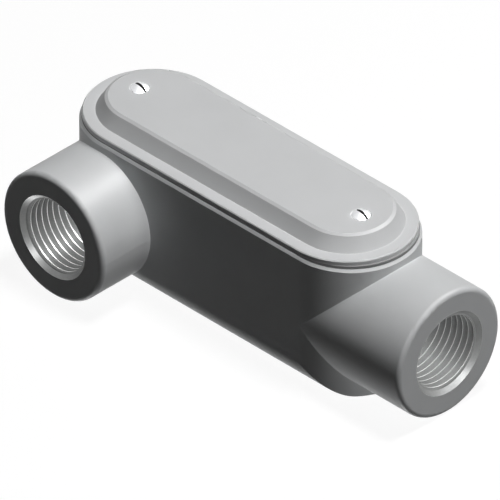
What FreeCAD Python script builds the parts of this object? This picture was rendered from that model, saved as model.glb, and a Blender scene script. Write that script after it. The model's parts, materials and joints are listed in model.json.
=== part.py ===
"""Conduit outlet body, LR pattern, half-inch trade size: a cast housing with a threaded hub on one
end and another on its side, a gasket, and a raised cover held down by two slotted screws.

The origin is on the housing's flat back, midway between its rounded ends. The end hub points along
+X, the side hub along -Y and the cover faces +Z. Everything is in millimetres and degrees.
"""
import FreeCAD, Part
import math
import os
import types

import Sketcher

SIZES = {
    # Housing: outer form
    "end_spacing": 66.4,        # between the centres of the two rounded ends
    "body_radius": 16.85,       # radius of the rounded ends and the hubs, half the width
    "seat_rise": 2.5,           # gasket seat above the tops of the hubs
    "back_round": 6.1,          # rounding along the two long edges of the back
    "seat_chamfer": 0.7,        # round the outside of the gasket seat
    # Housing: chamber
    "wall": 3.0,
    "floor_thickness": 3.0,
    "floor_round": 3.1,         # inside rounding along the two long edges of the floor
    # Housing: hubs
    "hub_edge_round": 1.2,
    "thread_radius": 10.7,      # root of the conduit thread
    "thread_depth": 14.5,       # hub face to the bushing's shoulder
    "mouth_chamfer": 0.3,
    "throat_radius": 7.9,       # integral bushing, the bore of the conduit
    "throat_length": 4.3,       # end of the chamber to the bushing's shoulder
    "throat_flare": 0.8,        # flared lip that wires are pulled over, at the chamber
    "shoulder_chamfer": 0.8,    # at the throat's other end, where the conduit stops
    # Housing: tapped lugs for the cover screws
    "lug_width": 8.4,
    "lug_clearance": 2.05,      # its root above the throat's flared lip
    "lug_slope": 12.0,          # rise of its underside towards the tip
    "lug_round": 1.2,           # cast corner between a lug and the wall
    # Gasket
    "gasket_thickness": 0.75,
    "gasket_setback": 0.5,      # how far its outer edge lies inside the housing's
    # Cover
    "cover_end_step": 0.94,     # how far its rounded ends are drawn in from the housing's
    "cover_side_step": 0.05,    # the same along its sides
    "rim_thickness": 1.3,
    "rim_width": 3.15,          # flat rim, edge to the foot of the raised centre
    "rim_chamfer": 0.25,
    "rise": 3.85,               # height of the raised centre above the rim
    "slope_angle": 32.6,        # lean of the raised centre's flanks, from upright
    "rise_chamfer": 0.5,
    "cover_wall": 1.8,
    "post_radius": 3.3,         # posts that carry the screws through the hollow
    # Cover screws
    "screw_offset": 3.55,       # each screw's axis beyond the centre of its rounded end
    "screw_radius": 1.42,       # outside the thread
    "screw_engagement": 8.4,    # gasket seat to the tip, in the lug
    "head_radius": 2.42,
    "dome_height": 0.88,
    "countersink_angle": 82.0,
    "slot_width": 0.75,
    "slot_depth": 1.05,         # from the top of the dome
    "slot_turn": -7.5,          # how both slots lie, from the long axis
    # Clearances between pieces
    "tapped_clearance": 0.06,   # screw in its lug, on the radius
    "passing_clearance": 0.25,  # screw through the cover and gasket, on the radius
    "head_clearance": 0.08,     # head in its countersink, on the radius
}

class Size:
    """A length or angle, held both as a number to draw with and as a formula on the sheet."""

    def __init__(self, value, formula):
        self.value = value
        self.formula = formula

    def combined(self, other, sign, value):
        return Size(value, f"({self.formula} {sign} {as_size(other).formula})")

    def __add__(self, other):
        return self.combined(other, "+", self.value + as_size(other).value)

    def __sub__(self, other):
        return self.combined(other, "-", self.value - as_size(other).value)

    def __mul__(self, other):
        return self.combined(other, "*", self.value * as_size(other).value)

    def __truediv__(self, other):
        return self.combined(other, "/", self.value / as_size(other).value)


def as_size(number):
    """Let plain numbers stand beside sizes in arithmetic."""
    return number if isinstance(number, Size) else Size(float(number), str(number))


def tangent_of(angle):
    return Size(math.tan(math.radians(angle.value)), f"tan({angle.formula})")


def cosine_of(angle):
    return Size(math.cos(math.radians(angle.value)), f"cos({angle.formula})")


doc = FreeCAD.newDocument("conduit_body")
sheet = doc.addObject("Spreadsheet::Sheet", "Sizes")
for row, (name, number) in enumerate(SIZES.items(), start=1):
    sheet.set(f"A{row}", name)
    sheet.set(f"B{row}", str(number))
    sheet.setAlias(f"B{row}", name)
doc.recompute()

S = types.SimpleNamespace(**{name: Size(number, f"Sizes.{name}") for name, number in SIZES.items()})
ZERO = as_size(0)

# Sizes that several pieces share, worked out from the driving ones
half_spacing = S.end_spacing / 2
chamber_radius = S.body_radius - S.wall
hub_axis = S.body_radius                                # the hubs touch the plane of the flat back
body_height = hub_axis + S.body_radius + S.seat_rise
shoulder_reach = chamber_radius + S.throat_length
hub_reach = shoulder_reach + S.thread_depth
lug_root_z = hub_axis + S.throat_radius + S.throat_flare + S.lug_clearance
lug_depth = body_height - lug_root_z
screw_x = half_spacing + S.screw_offset
tongue_root = half_spacing + S.body_radius - S.wall / 2  # lugs start halfway through the wall
cover_base = body_height + S.gasket_thickness
cover_spacing = S.end_spacing - S.cover_end_step * 2
cover_radius = S.body_radius - S.cover_side_step
cover_height = S.rim_thickness + S.rise
screw_length = cover_height + S.gasket_thickness + S.screw_engagement


# ------------------------------------------------------------------ sketch helpers

def vector(x, y):
    return FreeCAD.Vector(x, y, 0)


def origin_plane(body, role):
    return next(plane for plane in body.Origin.OriginFeatures if plane.Role == role)


def sketch_on(body, plane_role, name, lift=None):
    """Start a sketch on one of the body's own planes, lifted along the plane's normal."""
    sketch = body.newObject("Sketcher::SketchObject", name)
    sketch.AttachmentSupport = [(origin_plane(body, plane_role), "")]
    sketch.MapMode = "FlatFace"
    if lift is not None:
        sketch.setExpression("AttachmentOffset.Base.z", lift.formula)
    return sketch


def dimension(sketch, kind, *places, to):
    """Add one dimension to a sketch and bind it to a size."""
    index = sketch.addConstraint(Sketcher.Constraint(kind, *places, to.value))
    sketch.setExpression(f"Constraints[{index}]", to.formula)


def place_point(sketch, geometry, point, x, y):
    """Fix one point of a sketch by its distances from the origin; ZERO puts it on an axis."""
    for kind, axis, distance in (("DistanceX", -2, x), ("DistanceY", -1, y)):
        if distance is ZERO:
            sketch.addConstraint(Sketcher.Constraint("PointOnObject", geometry, point, axis))
        elif distance.value < 0:
            dimension(sketch, kind, geometry, point, -1, 1, to=ZERO - distance)
        else:
            dimension(sketch, kind, -1, 1, geometry, point, to=distance)


def draw_obround(sketch, spacing, radius):
    """Two half circles on the X axis joined by straight sides, centred on the origin."""
    x = spacing.value / 2
    r = radius.value
    normal = FreeCAD.Vector(0, 0, 1)
    quarter = math.pi / 2
    right = sketch.addGeometry(Part.ArcOfCircle(Part.Circle(vector(x, 0), normal, r), -quarter, quarter))
    top = sketch.addGeometry(Part.LineSegment(vector(x, r), vector(-x, r)))
    left = sketch.addGeometry(
        Part.ArcOfCircle(Part.Circle(vector(-x, 0), normal, r), quarter, 3 * quarter))
    bottom = sketch.addGeometry(Part.LineSegment(vector(-x, -r), vector(x, -r)))
    for first, second in ((right, top), (top, left), (left, bottom), (bottom, right)):
        sketch.addConstraint(Sketcher.Constraint("Tangent", first, 2, second, 1))
    sketch.addConstraint(Sketcher.Constraint("Symmetric", left, 3, right, 3, -1, 1))
    sketch.addConstraint(Sketcher.Constraint("PointOnObject", right, 3, -1))
    sketch.addConstraint(Sketcher.Constraint("Equal", right, left))
    dimension(sketch, "DistanceX", left, 3, right, 3, to=spacing)
    dimension(sketch, "Radius", right, to=radius)


def draw_circle(sketch, x, y, radius):
    circle = sketch.addGeometry(
        Part.Circle(vector(x.value, y.value), FreeCAD.Vector(0, 0, 1), radius.value))
    place_point(sketch, circle, 3, x, y)
    dimension(sketch, "Radius", circle, to=radius)


def draw_centred_rectangle(sketch, length, width):
    x = length.value / 2
    y = width.value / 2
    corners = [vector(-x, -y), vector(x, -y), vector(x, y), vector(-x, y)]
    sides = [
        sketch.addGeometry(Part.LineSegment(start, end))
        for start, end in zip(corners, corners[1:] + corners[:1])]
    for first, second in zip(sides, sides[1:] + sides[:1]):
        sketch.addConstraint(Sketcher.Constraint("Coincident", first, 2, second, 1))
    for side, kind in zip(sides, ("Horizontal", "Vertical", "Horizontal", "Vertical")):
        sketch.addConstraint(Sketcher.Constraint(kind, side))
    sketch.addConstraint(Sketcher.Constraint("Symmetric", sides[0], 1, sides[2], 1, -1, 1))
    dimension(sketch, "DistanceX", sides[0], 1, sides[0], 2, to=length)
    dimension(sketch, "DistanceY", sides[1], 1, sides[1], 2, to=width)


def draw_lines(sketch, points, closed=True):
    """Straight lines from point to point, each point placed from the origin."""
    ends = points[1:] + points[:1] if closed else points[1:]
    lines = [
        sketch.addGeometry(Part.LineSegment(
            vector(start[0].value, start[1].value), vector(end[0].value, end[1].value)))
        for start, end in zip(points, ends)]
    for line, (x, y) in zip(lines, points):
        place_point(sketch, line, 1, x, y)
    if not closed:
        place_point(sketch, lines[-1], 2, *points[-1])
    joints = list(zip(lines, lines[1:]))
    if closed:
        joints.append((lines[-1], lines[0]))
    for first, second in joints:
        sketch.addConstraint(Sketcher.Constraint("Coincident", first, 2, second, 1))
    return lines


# ------------------------------------------------------------------ feature helpers

def new_body(label):
    body = doc.addObject("PartDesign::Body", label)
    body.Label = label
    return body


def pad(body, sketch, name, length, taper=None, reversed_=False):
    """Add material from a sketch, along its plane's normal unless it is reversed."""
    feature = body.newObject("PartDesign::Pad", name)
    feature.Profile = sketch
    feature.Reversed = reversed_
    feature.setExpression("Length", length.formula)
    if taper is not None:
        feature.setExpression("TaperAngle", taper.formula)
    doc.recompute()
    return feature


def pocket(body, sketch, name, length=None, side="One side", taper=None, reversed_=False):
    """Take material away from a sketch, against its plane's normal unless it is reversed."""
    before = body.Shape.Volume
    feature = body.newObject("PartDesign::Pocket", name)
    feature.Profile = sketch
    feature.SideType = side
    feature.Reversed = reversed_
    if length is None:
        feature.Type = "ThroughAll"
    else:
        feature.setExpression("Length", length.formula)
    if taper is not None:
        feature.setExpression("TaperAngle", taper.formula)
    doc.recompute()
    if body.Shape.Volume >= before:
        raise RuntimeError(f"{name} cuts nothing")
    return feature


def dress(body, kind, name, radius, chosen):
    """Fillet or chamfer the edges of the body that pass a test."""
    names = [f"Edge{n}" for n, edge in enumerate(body.Shape.Edges, start=1) if chosen(edge)]
    if not names:
        raise RuntimeError(f"{name} finds no edge")
    base = body.Tip
    feature = body.newObject(f"PartDesign::{kind}", name)
    feature.Base = (base, names)
    feature.setExpression("Size" if kind == "Chamfer" else "Radius", radius.formula)
    doc.recompute()
    return feature


def near(first, second):
    return abs(first - second) < 1e-3


def level_with(edge, axis, position):
    """True if the whole edge lies in the plane across an axis at a position."""
    box = edge.BoundBox
    low = getattr(box, f"{axis}Min")
    high = getattr(box, f"{axis}Max")
    return near(low, position) and near(high, position)


def mirror(body, name, features, plane_role):
    """Repeat features on the other side of one of the body's own planes."""
    feature = body.newObject("PartDesign::Mirrored", name)
    feature.Originals = features
    feature.MirrorPlane = (origin_plane(body, plane_role), [""])
    body.Tip = feature
    doc.recompute()


# ------------------------------------------------------------------ housing

def round_long_edges(body, half_width, base, radius):
    """Round a block's two long lower edges; its rounded ends keep a sharp edge there."""
    sketch = sketch_on(body, "YZ_Plane", f"{body.Label}_corner")
    inner = half_width - radius
    bottom, side = draw_lines(
        sketch, [(inner, base), (half_width, base), (half_width, base + radius)], closed=False)
    arc = sketch.addGeometry(Part.ArcOfCircle(
        Part.Circle(vector(inner.value, (base + radius).value), FreeCAD.Vector(0, 0, 1), radius.value),
        -math.pi / 2, 0))
    sketch.addConstraint(Sketcher.Constraint("Coincident", arc, 1, bottom, 1))
    sketch.addConstraint(Sketcher.Constraint("Tangent", arc, 2, side, 2))
    corner = pocket(body, sketch, f"{body.Label}_corner_cut", side="Symmetric")
    mirror(body, f"{body.Label}_corners", [corner], "XZ_Plane")


def make_core():
    """The chamber, as the core that the housing is cast around."""
    body = new_body("chamber_core")
    plan = sketch_on(body, "XY_Plane", "core_plan", lift=S.floor_thickness)
    draw_obround(plan, S.end_spacing, chamber_radius)
    pad(body, plan, "core_block", body_height - S.floor_thickness)
    round_long_edges(body, chamber_radius, S.floor_thickness, S.floor_round)
    return body


def add_hub(body, name, plane_role, start, x):
    """The outside of a hub, from inside the chamber's end to the hub's face."""
    outside = sketch_on(body, plane_role, f"{name}_outside", lift=start)
    draw_circle(outside, x, hub_axis, S.body_radius)
    pad(body, outside, f"{name}_boss", hub_reach)


def bore_hub(body, name, plane_role, start, x):
    """The bore for the conduit's thread and, past a shoulder, the throat of the bushing."""
    thread = sketch_on(body, plane_role, f"{name}_thread", lift=start + hub_reach)
    draw_circle(thread, x, hub_axis, S.thread_radius)
    pocket(body, thread, f"{name}_thread_bore", S.thread_depth)
    throat = sketch_on(body, plane_role, f"{name}_throat", lift=start + shoulder_reach)
    draw_circle(throat, x, hub_axis, S.throat_radius)
    pocket(body, throat, f"{name}_throat_bore", shoulder_reach)


def rings_of(radius):
    """A test for the edges that run round either hub's axis at a radius."""
    end_centre = FreeCAD.Vector(0, 0, hub_axis.value)
    side_centre = FreeCAD.Vector(-half_spacing.value, 0, hub_axis.value)
    along_x = FreeCAD.Vector(1, 0, 0)
    along_y = FreeCAD.Vector(0, 1, 0)

    def chosen(edge):
        if isinstance(edge.Curve, Part.Line):
            return False
        points = edge.discretize(7)
        return any(
            all(near(point.distanceToLine(centre, axis), radius.value) for point in points)
            for centre, axis in ((end_centre, along_x), (side_centre, along_y)))

    return chosen


def draw_tongue(sketch, root_x):
    """A tongue from the end wall, rounded about the screw's axis."""
    r = S.lug_width / 2
    normal = FreeCAD.Vector(0, 0, 1)
    x = screw_x.value
    tip = sketch.addGeometry(Part.ArcOfCircle(
        Part.Circle(vector(x, 0), normal, r.value), math.pi / 2, 3 * math.pi / 2))
    lower = sketch.addGeometry(Part.LineSegment(vector(x, -r.value), vector(root_x.value, -r.value)))
    root = sketch.addGeometry(
        Part.LineSegment(vector(root_x.value, -r.value), vector(root_x.value, r.value)))
    upper = sketch.addGeometry(Part.LineSegment(vector(root_x.value, r.value), vector(x, r.value)))
    sketch.addConstraint(Sketcher.Constraint("Tangent", tip, 2, lower, 1))
    sketch.addConstraint(Sketcher.Constraint("Tangent", upper, 2, tip, 1))
    sketch.addConstraint(Sketcher.Constraint("Coincident", lower, 2, root, 1))
    sketch.addConstraint(Sketcher.Constraint("Coincident", root, 2, upper, 1))
    sketch.addConstraint(Sketcher.Constraint("Horizontal", lower))
    sketch.addConstraint(Sketcher.Constraint("Vertical", root))
    place_point(sketch, tip, 3, screw_x, ZERO)
    dimension(sketch, "Radius", tip, to=r)
    dimension(sketch, "DistanceX", -1, 1, root, 1, to=root_x)


def add_lugs(body):
    """Tapped lugs that reach in from both end walls, level with the gasket seat."""
    plan = sketch_on(body, "XY_Plane", "lug_plan", lift=body_height)
    draw_tongue(plan, tongue_root)
    lug = pad(body, plan, "lug", lug_depth, reversed_=True)

    near_x = screw_x + S.lug_width / 2
    far_x = screw_x - S.lug_width
    far_z = lug_root_z + (near_x - far_x) * tangent_of(S.lug_slope)
    slope = sketch_on(body, "XZ_Plane", "lug_slope")
    draw_lines(slope, [(near_x, lug_root_z), (far_x, far_z), (far_x, lug_root_z)])
    underside = pocket(body, slope, "lug_underside", S.lug_width, side="Symmetric")

    hole_plan = sketch_on(body, "XY_Plane", "lug_hole_plan", lift=body_height)
    draw_circle(hole_plan, screw_x, ZERO, S.screw_radius + S.tapped_clearance)
    hole = pocket(body, hole_plan, "lug_hole", lug_depth)

    mirror(body, "lugs", [lug, underside, hole], "YZ_Plane")


def joins_lug_to_wall(edge):
    """A test for the upright corners where a lug grows out of the curved end wall."""
    return isinstance(edge.Curve, Part.Line) and near(edge.BoundBox.ZMax, body_height.value) and all(
        near(math.hypot(abs(point.x) - half_spacing.value, point.y), chamber_radius.value)
        and near(abs(point.y), S.lug_width.value / 2)
        for point in edge.discretize(3))


def make_housing():
    body = new_body("housing")
    plan = sketch_on(body, "XY_Plane", "housing_plan")
    draw_obround(plan, S.end_spacing, S.body_radius)
    pad(body, plan, "block", body_height)
    round_long_edges(body, S.body_radius, ZERO, S.back_round)

    hubs = (
        ("end_hub", "YZ_Plane", half_spacing, ZERO),
        ("side_hub", "XZ_Plane", ZERO, ZERO - half_spacing),
    )
    for hub in hubs:
        add_hub(body, *hub)
    end_face = (half_spacing + hub_reach).value
    side_face = -hub_reach.value
    dress(body, "Fillet", "hub_edges", S.hub_edge_round, lambda edge:
          level_with(edge, "X", end_face) or level_with(edge, "Y", side_face))
    dress(body, "Chamfer", "seat_edge", S.seat_chamfer, lambda edge:
          level_with(edge, "Z", body_height.value))

    chamber = body.newObject("PartDesign::Boolean", "chamber")
    chamber.Type = "Cut"
    chamber.setObjects([make_core()])
    doc.recompute()

    for hub in hubs:
        bore_hub(body, *hub)
    end_shoulder = (half_spacing + shoulder_reach).value
    side_shoulder = -shoulder_reach.value
    dress(body, "Chamfer", "mouths", S.mouth_chamfer, lambda edge:
          rings_of(S.thread_radius)(edge)
          and (level_with(edge, "X", end_face) or level_with(edge, "Y", side_face)))
    dress(body, "Chamfer", "shoulders", S.shoulder_chamfer, lambda edge:
          rings_of(S.throat_radius)(edge)
          and (level_with(edge, "X", end_shoulder) or level_with(edge, "Y", side_shoulder)))
    end_ring = end_shoulder - S.shoulder_chamfer.value
    side_ring = side_shoulder + S.shoulder_chamfer.value
    dress(body, "Chamfer", "throat_lips", S.throat_flare, lambda edge:
          rings_of(S.throat_radius)(edge)
          and not level_with(edge, "X", end_ring) and not level_with(edge, "Y", side_ring))

    add_lugs(body)
    dress(body, "Fillet", "lug_corners", S.lug_round, joins_lug_to_wall)
    return body


# ------------------------------------------------------------------ gasket, cover and screws

def make_gasket():
    """A flat ring under the cover's rim, with a pierced tongue over each lug."""
    body = new_body("gasket")
    body.setExpression("Placement.Base.z", body_height.formula)
    ring = sketch_on(body, "XY_Plane", "gasket_ring")
    draw_obround(ring, S.end_spacing, S.body_radius - S.gasket_setback)
    draw_obround(ring, S.end_spacing, chamber_radius)
    pad(body, ring, "ring", S.gasket_thickness)

    plan = sketch_on(body, "XY_Plane", "tongue_plan")
    draw_tongue(plan, tongue_root)
    tongue = pad(body, plan, "tongue", S.gasket_thickness)
    hole_plan = sketch_on(body, "XY_Plane", "hole_plan", lift=S.gasket_thickness)
    draw_circle(hole_plan, screw_x, ZERO, S.screw_radius + S.passing_clearance)
    hole = pocket(body, hole_plan, "hole", S.gasket_thickness)
    mirror(body, "tongues", [tongue, hole], "YZ_Plane")
    return body


def make_cover():
    """A cast cover: flat rim, raised centre with sloping flanks, hollow beneath but for two posts."""
    body = new_body("cover")
    body.setExpression("Placement.Base.z", cover_base.formula)
    rim = sketch_on(body, "XY_Plane", "rim_plan")
    draw_obround(rim, cover_spacing, cover_radius)
    pad(body, rim, "rim", S.rim_thickness)
    dress(body, "Chamfer", "rim_edge", S.rim_chamfer, lambda edge:
          level_with(edge, "Z", cover_base.value + S.rim_thickness.value))

    foot_radius = cover_radius - S.rim_width
    foot = sketch_on(body, "XY_Plane", "rise_plan", lift=S.rim_thickness)
    draw_obround(foot, cover_spacing, foot_radius)
    pad(body, foot, "rise", S.rise, taper=ZERO - S.slope_angle)
    dress(body, "Chamfer", "rise_edge", S.rise_chamfer, lambda edge:
          level_with(edge, "Z", cover_base.value + cover_height.value))

    hollow_depth = cover_height - S.cover_wall
    lean = tangent_of(S.slope_angle)
    hollow_radius = foot_radius + S.rim_thickness * lean - S.cover_wall / cosine_of(S.slope_angle)
    hollow = sketch_on(body, "XY_Plane", "hollow_plan")
    draw_obround(hollow, cover_spacing, hollow_radius)
    pocket(body, hollow, "hollow", hollow_depth, taper=ZERO - S.slope_angle, reversed_=True)

    posts = sketch_on(body, "XY_Plane", "post_plan")
    for x in (screw_x, ZERO - screw_x):
        draw_circle(posts, x, ZERO, S.post_radius)
    pad(body, posts, "posts", hollow_depth)

    holes = sketch_on(body, "XY_Plane", "screw_hole_plan", lift=cover_height)
    for x in (screw_x, ZERO - screw_x):
        draw_circle(holes, x, ZERO, S.screw_radius + S.passing_clearance)
    hole = body.newObject("PartDesign::Hole", "screw_holes")
    hole.Profile = holes
    hole.DepthType = "ThroughAll"
    hole.setExpression("Diameter", ((S.screw_radius + S.passing_clearance) * 2).formula)
    hole.HoleCutType = "Countersink"
    hole.HoleCutCustomValues = True
    hole.setExpression("HoleCutDiameter", ((S.head_radius + S.head_clearance) * 2).formula)
    hole.setExpression("HoleCutCountersinkAngle", S.countersink_angle.formula)
    doc.recompute()
    return body


def make_screw(label, x):
    """A slotted oval-head screw, drawn from its tip upwards and seated in the cover."""
    body = new_body(label)
    body.setExpression("Placement.Base.x", x.formula)
    body.setExpression("Placement.Base.z", (cover_base + cover_height - screw_length).formula)
    body.setExpression("Placement.Rotation.Angle", S.slot_turn.formula)

    cone = (S.head_radius - S.screw_radius) / tangent_of(S.countersink_angle / 2)
    top_z = screw_length + S.dome_height
    profile = sketch_on(body, "XZ_Plane", "profile")
    lines = draw_lines(profile, [
        (ZERO, top_z),
        (ZERO, ZERO),
        (S.screw_radius, ZERO),
        (S.screw_radius, screw_length - cone),
        (S.head_radius, screw_length),
    ], closed=False)
    r = S.head_radius.value
    rise = S.dome_height.value
    dome_radius = (r * r + rise * rise) / (2 * rise)
    half_angle = math.asin(r / dome_radius)
    dome = profile.addGeometry(Part.ArcOfCircle(
        Part.Circle(vector(0, top_z.value - dome_radius), FreeCAD.Vector(0, 0, 1), dome_radius),
        math.pi / 2 - half_angle, math.pi / 2))
    profile.addConstraint(Sketcher.Constraint("Coincident", dome, 1, lines[-1], 2))
    profile.addConstraint(Sketcher.Constraint("Coincident", dome, 2, lines[0], 1))
    profile.addConstraint(Sketcher.Constraint("PointOnObject", dome, 3, -2))
    turned = body.newObject("PartDesign::Revolution", "turned")
    turned.Profile = profile
    turned.ReferenceAxis = (profile, ["V_Axis"])
    turned.Angle = 360
    doc.recompute()

    right_across = S.head_radius * 3
    slot = sketch_on(body, "XY_Plane", "slot_plan", lift=top_z)
    draw_centred_rectangle(slot, right_across, S.slot_width)
    pocket(body, slot, "slot", S.slot_depth)
    return body


def check_document(bodies):
    """Stop if any object failed to build or any piece isn't one sound solid."""
    for item in doc.Objects:
        if "Invalid" in item.State or "Error" in item.State:
            raise RuntimeError(f"{item.Name} failed to build")
    for body in bodies:
        if body.Shape.isNull() or not body.Shape.isValid() or len(body.Shape.Solids) != 1:
            raise RuntimeError(f"{body.Label} isn't one sound solid")


bodies = [
    make_housing(),
    make_gasket(),
    make_cover(),
    make_screw("cover_screw_end_hub", screw_x),
    make_screw("cover_screw_side_hub", ZERO - screw_x),
]
doc.recompute()
check_document(bodies)

os.makedirs("parts", exist_ok=True)
for body in bodies:
    body.Shape.exportStep(f"parts/{body.Label}.step")
    print(f"{body.Label}: {body.Shape.Volume:.0f} cubic millimetres")
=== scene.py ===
"""The looks of a conduit outlet body: enamelled castings, cut threads, a gasket and two screws."""

import json
import math

import bmesh
import bpy
from mathutils import Matrix, Vector


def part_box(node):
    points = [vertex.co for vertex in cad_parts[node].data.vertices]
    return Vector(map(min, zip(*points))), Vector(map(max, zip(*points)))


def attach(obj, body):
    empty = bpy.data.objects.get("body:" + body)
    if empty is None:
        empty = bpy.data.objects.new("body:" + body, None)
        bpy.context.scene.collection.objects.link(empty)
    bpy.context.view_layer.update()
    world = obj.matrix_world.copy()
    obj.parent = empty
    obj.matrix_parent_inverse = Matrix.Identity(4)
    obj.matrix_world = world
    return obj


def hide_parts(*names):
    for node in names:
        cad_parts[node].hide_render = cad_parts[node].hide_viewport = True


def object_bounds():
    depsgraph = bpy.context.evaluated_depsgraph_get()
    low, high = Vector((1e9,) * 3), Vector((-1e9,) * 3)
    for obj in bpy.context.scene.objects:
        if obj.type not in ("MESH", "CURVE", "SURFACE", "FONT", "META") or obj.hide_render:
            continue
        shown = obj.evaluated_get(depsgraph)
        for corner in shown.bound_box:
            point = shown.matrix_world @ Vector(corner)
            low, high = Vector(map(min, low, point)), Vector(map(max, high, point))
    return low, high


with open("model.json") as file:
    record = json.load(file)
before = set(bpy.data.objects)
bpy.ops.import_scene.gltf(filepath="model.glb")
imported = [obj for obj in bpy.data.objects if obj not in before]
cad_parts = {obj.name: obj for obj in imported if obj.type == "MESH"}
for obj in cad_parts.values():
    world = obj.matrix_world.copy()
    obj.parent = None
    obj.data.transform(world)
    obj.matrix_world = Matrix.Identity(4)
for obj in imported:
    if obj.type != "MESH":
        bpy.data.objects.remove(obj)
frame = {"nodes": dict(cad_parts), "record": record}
cad_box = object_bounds()
nodes = frame["nodes"]

# ---------------------------------------------------------------- housing
# A malleable iron casting, sand cast in one piece with both its hubs and sprayed with a
# silver-grey aluminium enamel. It carries everything else.

GRAIN_OF_SAND = 0.00045             # what the mould leaves under the enamel, drawn a little coarse
GRAIN_DEPTH = 0.00004
ENAMEL_UNEVENNESS = 0.011           # thick and thin places of the sprayed coat
EDGE_WEAR_AND_HIGHLIGHT = 0.0006                  # how far the edges are lightened: partly the coat rubbed back by handling, partly a painted highlight


def linear(hex_colour):
    """An sRGB hex colour, as the linear one that a shader takes."""
    parts = [int(hex_colour[at:at + 2], 16) / 255 for at in (1, 3, 5)]
    return [c / 12.92 if c <= 0.04045 else ((c + 0.055) / 1.055) ** 2.4 for c in parts] + [1.0]


def new_material(name):
    """A material with no nodes in it yet."""
    material = bpy.data.materials.new(name)
    material.use_nodes = True
    material.node_tree.nodes.clear()
    return material


def add(material, kind, values=None, links=None, **settings):
    """Add one node. The settings are its own, and the values and links go to its inputs."""
    node = material.node_tree.nodes.new(f"ShaderNode{kind}")
    for name, setting in settings.items():
        setattr(node, name, setting)
    for name, value in (values or {}).items():
        node.inputs[name].default_value = value
    for name, socket in (links or {}).items():
        material.node_tree.links.new(socket, node.inputs[name])
    return node


def sprayed_enamel(name, thin, thick, worn_and_highlight):
    """Aluminium enamel on cast iron: satin, faintly grained, and lighter on its edges: partly the coat
    rubbed by handling, partly a painted highlight.
    """
    material = new_material(name)
    place = add(material, "TexCoord").outputs["Object"]
    coat = add(material, "TexNoise", {"Scale": 1 / ENAMEL_UNEVENNESS, "Detail": 3.0, "Roughness": 0.5},
               {"Vector": place})
    body = add(material, "Mix", {"A": linear(thin), "B": linear(thick)},
               {"Factor": coat.outputs["Fac"]}, data_type="RGBA")
    # Sharp edges are lightened towards the given pale colour: partly rubbed coat, partly a painted
    # highlight along them.
    rounded = add(material, "Bevel", {"Radius": EDGE_WEAR_AND_HIGHLIGHT}, samples=6)
    true_normal = add(material, "NewGeometry")
    agreement = add(material, "VectorMath", None, {0: rounded.outputs[0]}, operation="DOT_PRODUCT")
    material.node_tree.links.new(true_normal.outputs["Normal"], agreement.inputs[1])
    edge = add(material, "MapRange",
               {"From Min": 0.995, "From Max": 0.90, "To Min": 0.0, "To Max": 0.55},
               {"Value": agreement.outputs["Value"]})
    tone = add(material, "Mix", {"B": linear(worn_and_highlight)},
               {"Factor": edge.outputs[0], "A": body.outputs["Result"]}, data_type="RGBA")
    grain = add(material, "TexNoise", {"Scale": 1 / GRAIN_OF_SAND, "Detail": 4.0, "Roughness": 0.6},
                {"Vector": place})
    relief = add(material, "Bump", {"Strength": 0.25, "Distance": GRAIN_DEPTH},
                 {"Height": grain.outputs["Fac"]})
    gloss = add(material, "MapRange", {"To Min": 0.44, "To Max": 0.56}, {"Value": coat.outputs["Fac"]})
    shader = add(material, "BsdfPrincipled", {"IOR": 1.45, "Specular IOR Level": 0.2},
                 {"Base Color": tone.outputs["Result"], "Roughness": gloss.outputs[0],
                  "Normal": relief.outputs[0]})
    add(material, "OutputMaterial", None, {"Surface": shader.outputs[0]})
    return material


# The palest colour goes on the edges, partly as wear and partly as a painted highlight.
casting = sprayed_enamel("aluminium_enamel_on_iron", "#C1C3C4", "#CACBCC", "#DCDDDD")
nodes["housing"].data.materials.clear()
nodes["housing"].data.materials.append(casting)

# ---------------------------------------------------------------- hub threads
# The pipe thread cut into each hub after casting, 14 turns to the inch, with a plain lead-in at
# the mouth. The fresh iron is washed with zinc. Its flanks are coloured darker as painted shade
# down the grooves, and its crests near-white as a painted highlight along them.

PIPE_PITCH = 0.0254 / 14
PIPE_ROOT = 0.01064                 # just proud of the bore that the housing already has
PIPE_CREST = 0.0095                 # as wide as the tapping drill left the bore
CREST_TOLERANCE = 0.00001           # faces no further out than this are crests
SLEEVE_BACK = 0.01098               # buried in the hub's wall, and the edge of the lead-in
LEAD_DEPTH = 0.00105
THREAD_END = 0.01448                # just short of the shoulder of the bushing
HALF_FLANK = math.tan(math.radians(30))     # half of the thread's 60 degrees
TOOL_MARK = 0.0006                  # the tap's chatter, drawn a little coarse
TOOL_MARK_DEPTH = 0.00002
TURNS_TO_SPARE = 2                  # wound past both ends, and trimmed off
ROUND_STEPS = 96
CRISP_EDGE = math.radians(35)       # an edge that turns more than this stays crisp


def thread_turn(root, crest, pitch):
    """The outline of one turn, as radius and height, from the middle of a crest to the next.

    Where the root is the smaller radius, as on the cover screws, the flanks lean back under the
    crests. That is a fault: a real screw's flanks slope the other way.
    """
    flank = (root - crest) * HALF_FLANK
    flat = (pitch - 2 * flank) / 2
    return [(crest, 0), (crest, flat / 2), (root, flat / 2 + flank),
            (root, flat * 1.5 + flank), (crest, flat * 1.5 + 2 * flank), (crest, pitch)]


def wind(bm, outline, pitch, start, turns, steps=ROUND_STEPS):
    """Sweep an outline round the Z axis and along it, as a screw thread goes."""
    points = [bm.verts.new((radius, 0, start + height)) for radius, height in outline]
    edges = [bm.edges.new(pair) for pair in zip(points, points[1:])]
    bmesh.ops.spin(bm, geom=points + edges, cent=(0, 0, 0), axis=(0, 0, 1), dvec=(0, 0, pitch / steps),
                   angle=math.tau * turns, steps=steps * turns)
    bmesh.ops.remove_doubles(bm, verts=bm.verts, dist=1e-6)


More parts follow.
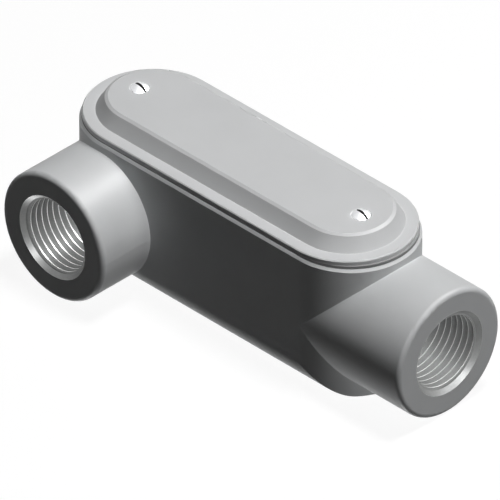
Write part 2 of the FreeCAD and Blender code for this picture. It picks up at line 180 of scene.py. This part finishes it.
def cut_ends(bm, low, high):
    """Trim a wound shell square at both heights, and close it there."""
    for height, facing in ((low, -1), (high, 1)):
        cut = bmesh.ops.bisect_plane(
            bm, geom=bm.verts[:] + bm.edges[:] + bm.faces[:], dist=1e-7,
            plane_co=(0, 0, height), plane_no=(0, 0, facing), clear_outer=True)
        rim = [e for e in cut["geom_cut"] if isinstance(e, bmesh.types.BMEdge)]
        bmesh.ops.triangle_fill(bm, edges=rim, use_beauty=True)


def finished(bm, name, place=Matrix.Identity(4)):
    """Turn a shape into a piece whose place is in its mesh, smooth but for its sharp edges."""
    bmesh.ops.transform(bm, matrix=place, verts=bm.verts)
    bmesh.ops.recalc_face_normals(bm, faces=bm.faces)
    for face in bm.faces:
        face.smooth = True
    for edge in bm.edges:
        edge.smooth = edge.calc_face_angle(math.pi) < CRISP_EDGE
    mesh = bpy.data.meshes.new(name)
    bm.to_mesh(mesh)
    bm.free()
    piece = bpy.data.objects.new(name, mesh)
    bpy.context.scene.collection.objects.link(piece)
    return piece


def machined_iron(name, dull, bright, metallic):
    """Iron cut by a tool and washed with zinc: satin, with fine tool marks."""
    material = new_material(name)
    place = add(material, "TexCoord").outputs["Object"]
    marks = add(material, "TexNoise", {"Scale": 1 / TOOL_MARK, "Detail": 2.0}, {"Vector": place})
    tone = add(material, "Mix", {"A": linear(dull), "B": linear(bright)},
               {"Factor": marks.outputs["Fac"]}, data_type="RGBA")
    relief = add(material, "Bump", {"Strength": 0.2, "Distance": TOOL_MARK_DEPTH},
                 {"Height": marks.outputs["Fac"]})
    gloss = add(material, "MapRange", {"To Min": 0.36, "To Max": 0.48}, {"Value": marks.outputs["Fac"]})
    shader = add(material, "BsdfPrincipled", {"Metallic": metallic, "Specular IOR Level": 0.3},
                 {"Base Color": tone.outputs["Result"], "Roughness": gloss.outputs[0],
                  "Normal": relief.outputs[0]})
    add(material, "OutputMaterial", None, {"Surface": shader.outputs[0]})
    return material


# The same washed iron in two colours: the flanks darker as painted shade, the crests near-white as a
# painted highlight.
flank_shade_painted = machined_iron("thread_flanks_painted_shade", "#7C7D7D", "#8C8D8C", 0.45)
crest_highlight_painted = machined_iron("thread_crests_painted_highlight", "#ECEDEC", "#F4F4F3", 0.1)

low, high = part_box("housing")
mounts = {mount["name"]: mount for mount in frame["record"]["mounts"]}
for hub, reach in (("end_hub", high.x), ("side_hub", -low.y)):
    mount = mounts[f"{hub}_thread"]
    outward = Vector(mount["axis"])
    mouth = Vector(mount["pos_m"])
    mouth += outward * (reach - mouth.dot(outward))
    into_place = Matrix.Translation(mouth) @ outward.to_track_quat("Z", "X").to_matrix().to_4x4()

    bm = bmesh.new()
    turns = math.ceil((THREAD_END - LEAD_DEPTH) / PIPE_PITCH) + TURNS_TO_SPARE
    start = -THREAD_END - PIPE_PITCH * 1.5
    wind(bm, thread_turn(PIPE_ROOT, PIPE_CREST, PIPE_PITCH), PIPE_PITCH, start, turns)
    # The sleeve's back is wound by itself, so that it stays quick, and then joined on.
    back = bmesh.new()
    wind(back, [(SLEEVE_BACK, 0), (SLEEVE_BACK, PIPE_PITCH)], PIPE_PITCH, start, turns)
    shell = bpy.data.meshes.new("back")
    back.to_mesh(shell)
    back.free()
    bm.from_mesh(shell)
    bpy.data.meshes.remove(shell)
    cut_ends(bm, -THREAD_END, -LEAD_DEPTH)
    # Crest faces take the near-white copy, a painted highlight along each crest.
    for face in bm.faces:
        if max(corner.co.xy.length for corner in face.verts) < PIPE_CREST + CREST_TOLERANCE:
            face.material_index = 1
    lead = [(SLEEVE_BACK, 0), (SLEEVE_BACK - LEAD_DEPTH, -LEAD_DEPTH), (SLEEVE_BACK, -LEAD_DEPTH)]
    points = [bm.verts.new((radius, 0, height)) for radius, height in lead]
    ring = [bm.edges.new(pair) for pair in zip(points, points[1:] + points[:1])]
    bmesh.ops.spin(bm, geom=points + ring, cent=(0, 0, 0), axis=(0, 0, 1), angle=math.tau,
                   steps=ROUND_STEPS, use_merge=True)
    thread = finished(bm, f"{hub}_cut_thread", into_place)
    thread.data.materials.append(flank_shade_painted)
    thread.data.materials.append(crest_highlight_painted)
    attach(thread, "housing")

# ---------------------------------------------------------------- gasket
# A die-cut ring of grey rubber sheet between the housing's seat and the cover's rim, with a
# pierced tongue over each lug. It is matt, with a faint bloom.

BLOOM_PATCH = 0.0035
PORE = 0.0003                       # drawn coarser than the rubber's own
PORE_DEPTH = 0.00003

rubber = new_material("die_cut_grey_rubber")
place = add(rubber, "TexCoord").outputs["Object"]
bloom = add(rubber, "TexNoise", {"Scale": 1 / BLOOM_PATCH, "Detail": 4.0}, {"Vector": place})
tone = add(rubber, "Mix", {"A": linear("#6C6D6D"), "B": linear("#7E7F7F")},
           {"Factor": bloom.outputs["Fac"]}, data_type="RGBA")
pores = add(rubber, "TexNoise", {"Scale": 1 / PORE, "Detail": 2.0}, {"Vector": place})
relief = add(rubber, "Bump", {"Strength": 0.3, "Distance": PORE_DEPTH}, {"Height": pores.outputs["Fac"]})
shader = add(rubber, "BsdfPrincipled", {"Roughness": 0.75, "IOR": 1.5},
             {"Base Color": tone.outputs["Result"], "Normal": relief.outputs[0]})
add(rubber, "OutputMaterial", None, {"Surface": shader.outputs[0]})
nodes["gasket"].data.materials.clear()
nodes["gasket"].data.materials.append(rubber)

# ---------------------------------------------------------------- cover
# A second, thinner iron casting with the same enamel, a shade paler for its smoother skin. Its
# raised centre leaves a flat rim that clamps the gasket.

# Its edges are lightened too, partly as wear and partly as a painted highlight.
lid = sprayed_enamel("aluminium_enamel_on_cover", "#C4C5C6", "#CBCCCD", "#E0E0E0")
nodes["cover"].data.materials.clear()
nodes["cover"].data.materials.append(lid)

# ---------------------------------------------------------------- cover screws
# Two slotted oval-head machine screws, 40 turns to the inch, headed and rolled from steel wire
# and zinc plated. Each sits in the cover's countersink and goes into a tapped lug.

SCREW_PITCH = 0.0254 / 40
SCREW_OUTSIDE = 0.00142
SCREW_ROOT = 0.00105
COUNTERSINK = math.radians(82 / 2)
SLOT_WIDTH = 0.00075
SLOT_DEPTH = 0.00105
SLOT_TURN = math.radians(-7.5)
HEAD_GAP = 0.00012                  # how far the head stays inside its countersink
NECK_OVERLAP = 0.0002               # how far the head's cone runs into the threaded shank
DOME_STEPS = 8
HEAD_STEPS = 64
SHANK_STEPS = 32
ZINC_CRYSTAL = 0.0008
# Size of the mottle in the slot's painted shade.
SLOT_SHADE_MOTTLE = 0.0005

# Zinc plate is bright and hard, and its fine crystals make the gloss uneven.
zinc = new_material("zinc_plated_steel")
place = add(zinc, "TexCoord").outputs["Object"]
crystals = add(zinc, "TexNoise", {"Scale": 1 / ZINC_CRYSTAL, "Detail": 3.0}, {"Vector": place})
gloss = add(zinc, "MapRange", {"To Min": 0.25, "To Max": 0.42}, {"Value": crystals.outputs["Fac"]})
tone = add(zinc, "Mix", {"A": linear("#C3C4C6"), "B": linear("#D8D9DA")},
           {"Factor": crystals.outputs["Fac"]}, data_type="RGBA")
shader = add(zinc, "BsdfPrincipled", {"Metallic": 1.0},
             {"Base Color": tone.outputs["Result"], "Roughness": gloss.outputs[0]})
add(zinc, "OutputMaterial", None, {"Surface": shader.outputs[0]})

# The sawn slot, coloured near-black: painted shade in the recess, which the shadowless lamps would
# otherwise light.
slot_painted_shade = new_material("slot_painted_shade_steel")
place = add(slot_painted_shade, "TexCoord").outputs["Object"]
shade_mottle = add(slot_painted_shade, "TexNoise", {"Scale": 1 / SLOT_SHADE_MOTTLE, "Detail": 2.0}, {"Vector": place})
tone = add(slot_painted_shade, "Mix", {"A": linear("#1F1F1F"), "B": linear("#343434")},
           {"Factor": shade_mottle.outputs["Fac"]}, data_type="RGBA")
shader = add(slot_painted_shade, "BsdfPrincipled", {"Roughness": 0.6}, {"Base Color": tone.outputs["Result"]})
add(slot_painted_shade, "OutputMaterial", None, {"Surface": shader.outputs[0]})

for node, body in (("cover_screw_end_hub", "end_hub_screw"), ("cover_screw_side_hub", "side_hub_screw")):
    low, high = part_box(node)
    head = (high.y - low.y) / 2 - HEAD_GAP
    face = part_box("cover")[1].z
    dome = high.z - face
    length = face - low.z
    neck = (head - SCREW_OUTSIDE) / math.tan(COUNTERSINK)
    middle = Vector(((low.x + high.x) / 2, (low.y + high.y) / 2, face))

    bm = bmesh.new()
    sphere = (head * head + dome * dome) / (2 * dome)
    half_angle = math.asin(head / sphere)
    angles = [half_angle * step / DOME_STEPS for step in range(DOME_STEPS + 1)]
    arc = [(sphere * math.sin(angle), dome - sphere + sphere * math.cos(angle)) for angle in angles]
    cone_end = -neck - NECK_OVERLAP
    outline = arc + [(SCREW_OUTSIDE, -neck), (SCREW_ROOT, cone_end), (0, cone_end)]
    points = [bm.verts.new((radius, 0, height)) for radius, height in outline]
    edges = [bm.edges.new(pair) for pair in zip(points, points[1:])]
    bmesh.ops.spin(bm, geom=points + edges, cent=(0, 0, 0), axis=(0, 0, 1), angle=math.tau,
                   steps=HEAD_STEPS, use_merge=True)
    bmesh.ops.remove_doubles(bm, verts=bm.verts, dist=1e-7)
    blank = finished(bm, "screw_blank")
    blank.data.materials.append(zinc)

    # The cutter is centred on the top of the dome, so it is twice as deep as the slot.
    bm = bmesh.new()
    bmesh.ops.create_cube(bm, size=1, matrix=Matrix.Rotation(SLOT_TURN, 4, "Z") @ Matrix.Translation(
        (0, 0, dome)) @ Matrix.Diagonal((head * 3, SLOT_WIDTH, SLOT_DEPTH * 2, 1)))
    cutter = finished(bm, "slot_cutter")
    cutter.data.materials.append(slot_painted_shade)
    # The cut faces take the cutter's near-black material: painted shade in the slot.
    slotting = blank.modifiers.new("slot", "BOOLEAN")
    slotting.object = cutter
    slotting.solver = "EXACT"
    slotting.material_mode = "TRANSFER"
    slotted = bpy.data.meshes.new_from_object(
        blank.evaluated_get(bpy.context.evaluated_depsgraph_get()))

    bm = bmesh.new()
    turns = math.ceil((length - neck) / SCREW_PITCH) + TURNS_TO_SPARE
    wind(bm, thread_turn(SCREW_ROOT, SCREW_OUTSIDE, SCREW_PITCH), SCREW_PITCH,
         -length - SCREW_PITCH, turns, steps=SHANK_STEPS)
    cut_ends(bm, -length, -neck)
    bm.from_mesh(slotted)
    screw = finished(bm, f"{node}_threaded", Matrix.Translation(middle))
    for spare in (blank, cutter):
        bpy.data.objects.remove(spare)
    screw.data.materials.append(zinc)
    screw.data.materials.append(slot_painted_shade)
    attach(screw, body)
    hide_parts(node)

# ---------------------------------------------------------------- studio
# A plain pale table in a white room. Three lamps light the object: a key, one overhead and a
# faint one below. The sheen lamps show only in its gloss, as strip lights in a studio do.

FLOOR_HALF = 6.0                    # half of the table's side
FLOOR_GAP = 0.0002                  # between the table and the object's flat back
LAMP_DISTANCE = 1.3
LAMP_ACROSS = 0.3
VIEW_WIDTH = 0.11744                # what the camera sees from side to side at the object
HALF_VIEW = math.radians(0.75)      # a long lens from far off, so that parallels stay parallel


def is_seen(material):
    """1 where the eye sees the surface, directly, in a reflection or through glass, and else 0."""
    path = add(material, "LightPath")
    seen = add(material, "Math", None,
               {0: path.outputs["Is Camera Ray"], 1: path.outputs["Is Glossy Ray"]},
               operation="ADD", use_clamp=True)
    seen = add(material, "Math", None, {0: seen.outputs[0], 1: path.outputs["Is Transmission Ray"]},
               operation="ADD", use_clamp=True)
    return seen.outputs[0]


floor_bm = bmesh.new()
bmesh.ops.create_grid(floor_bm, x_segments=1, y_segments=1, size=FLOOR_HALF,
                      matrix=Matrix.Translation((0, 0, cad_box[0].z - FLOOR_GAP)))
floor = finished(floor_bm, "table_top")

# White acrylic sheet, matt and glowing a little, which holds the object's soft shadow. To bounced
# light it is dark, so that it doesn't fill in the object's shaded sides.
table = new_material("white_acrylic_table")
unseen = add(table, "BsdfDiffuse", {"Color": linear("#1A1A1A")})
white = add(table, "BsdfDiffuse", {"Color": linear("#8C8C8C")})
glow = add(table, "Emission", {"Color": linear("#FFFFFF"), "Strength": 0.78})
lit = add(table, "AddShader", None, {0: white.outputs[0], 1: glow.outputs[0]})
mixed = add(table, "MixShader", None, {0: is_seen(table), 1: unseen.outputs[0], 2: lit.outputs[0]})
add(table, "OutputMaterial", None, {"Surface": mixed.outputs[0]})
floor.data.materials.append(table)
floor.visible_shadow = False        # the lamp below shines through it

# The room looks white, but gives the object hardly any light of its own.
world = bpy.data.worlds.new("white_room")
bpy.context.scene.world = world
world.use_nodes = True
world.node_tree.nodes.clear()
dim = add(world, "Background", {"Color": linear("#FFFFFF"), "Strength": 0.01})
bright = add(world, "Background", {"Color": linear("#FFFFFF"), "Strength": 1.0})
mixed = add(world, "MixShader", None, {0: is_seen(world), 1: dim.outputs[0], 2: bright.outputs[0]})
add(world, "OutputWorld", None, {"Surface": mixed.outputs[0]})

# Each lamp's name, where it stands, its level, whether it casts shadows, and whether it shows in
# the gloss alone. At level 1 a lamp brings a white surface that faces it to full white.
centre = (cad_box[0] + cad_box[1]) / 2
for name, direction, level, casts_shadow, sheen_only in (
        ("key", (0.47, 0.1, 0.88), 0.61, False, False),
        ("overhead", (0.15, 0.12, 0.99), 0.35, True, False),
        ("under_table", (-0.25, 0.02, -0.97), 0.28, False, False),
        ("sheen_behind", (0.18, 0.56, 0.81), 3.4, False, True),
        ("sheen_end", (0.86, -0.03, 0.5), 0.5, False, True),
        ("sheen_above", (0.36, -0.15, 0.91), 1.5, False, True),
        ("sheen_front", (0.3, -0.78, 0.55), 0.7, False, True)):
    lamp = bpy.data.lights.new(name, "AREA")
    lamp.shape = "DISK"
    lamp.size = LAMP_ACROSS
    lamp.energy = level * math.pi * math.pi * LAMP_DISTANCE * LAMP_DISTANCE
    lamp.use_shadow = casts_shadow
    stand = bpy.data.objects.new(name, lamp)
    stand.visible_diffuse = not sheen_only
    towards = Vector(direction).normalized()
    stand.location = centre + towards * LAMP_DISTANCE
    stand.rotation_mode = "QUATERNION"
    stand.rotation_quaternion = towards.to_track_quat("Z", "Y")
    bpy.context.scene.collection.objects.link(stand)

# The camera looks down at one corner, at the same angle to all three axes.
lens = bpy.data.cameras.new("camera")
lens.sensor_width = 36
lens.lens = lens.sensor_width / 2 / math.tan(HALF_VIEW)
lens.clip_end = 20
camera = bpy.data.objects.new("camera", lens)
towards = Vector((1, -1, 1)).normalized()
camera.location = centre + towards * (VIEW_WIDTH / 2 / math.tan(HALF_VIEW))
camera.rotation_mode = "QUATERNION"
camera.rotation_quaternion = towards.to_track_quat("Z", "Y")
bpy.context.scene.collection.objects.link(camera)
bpy.context.scene.camera = camera
bpy.context.scene.view_settings.view_transform = "Standard"
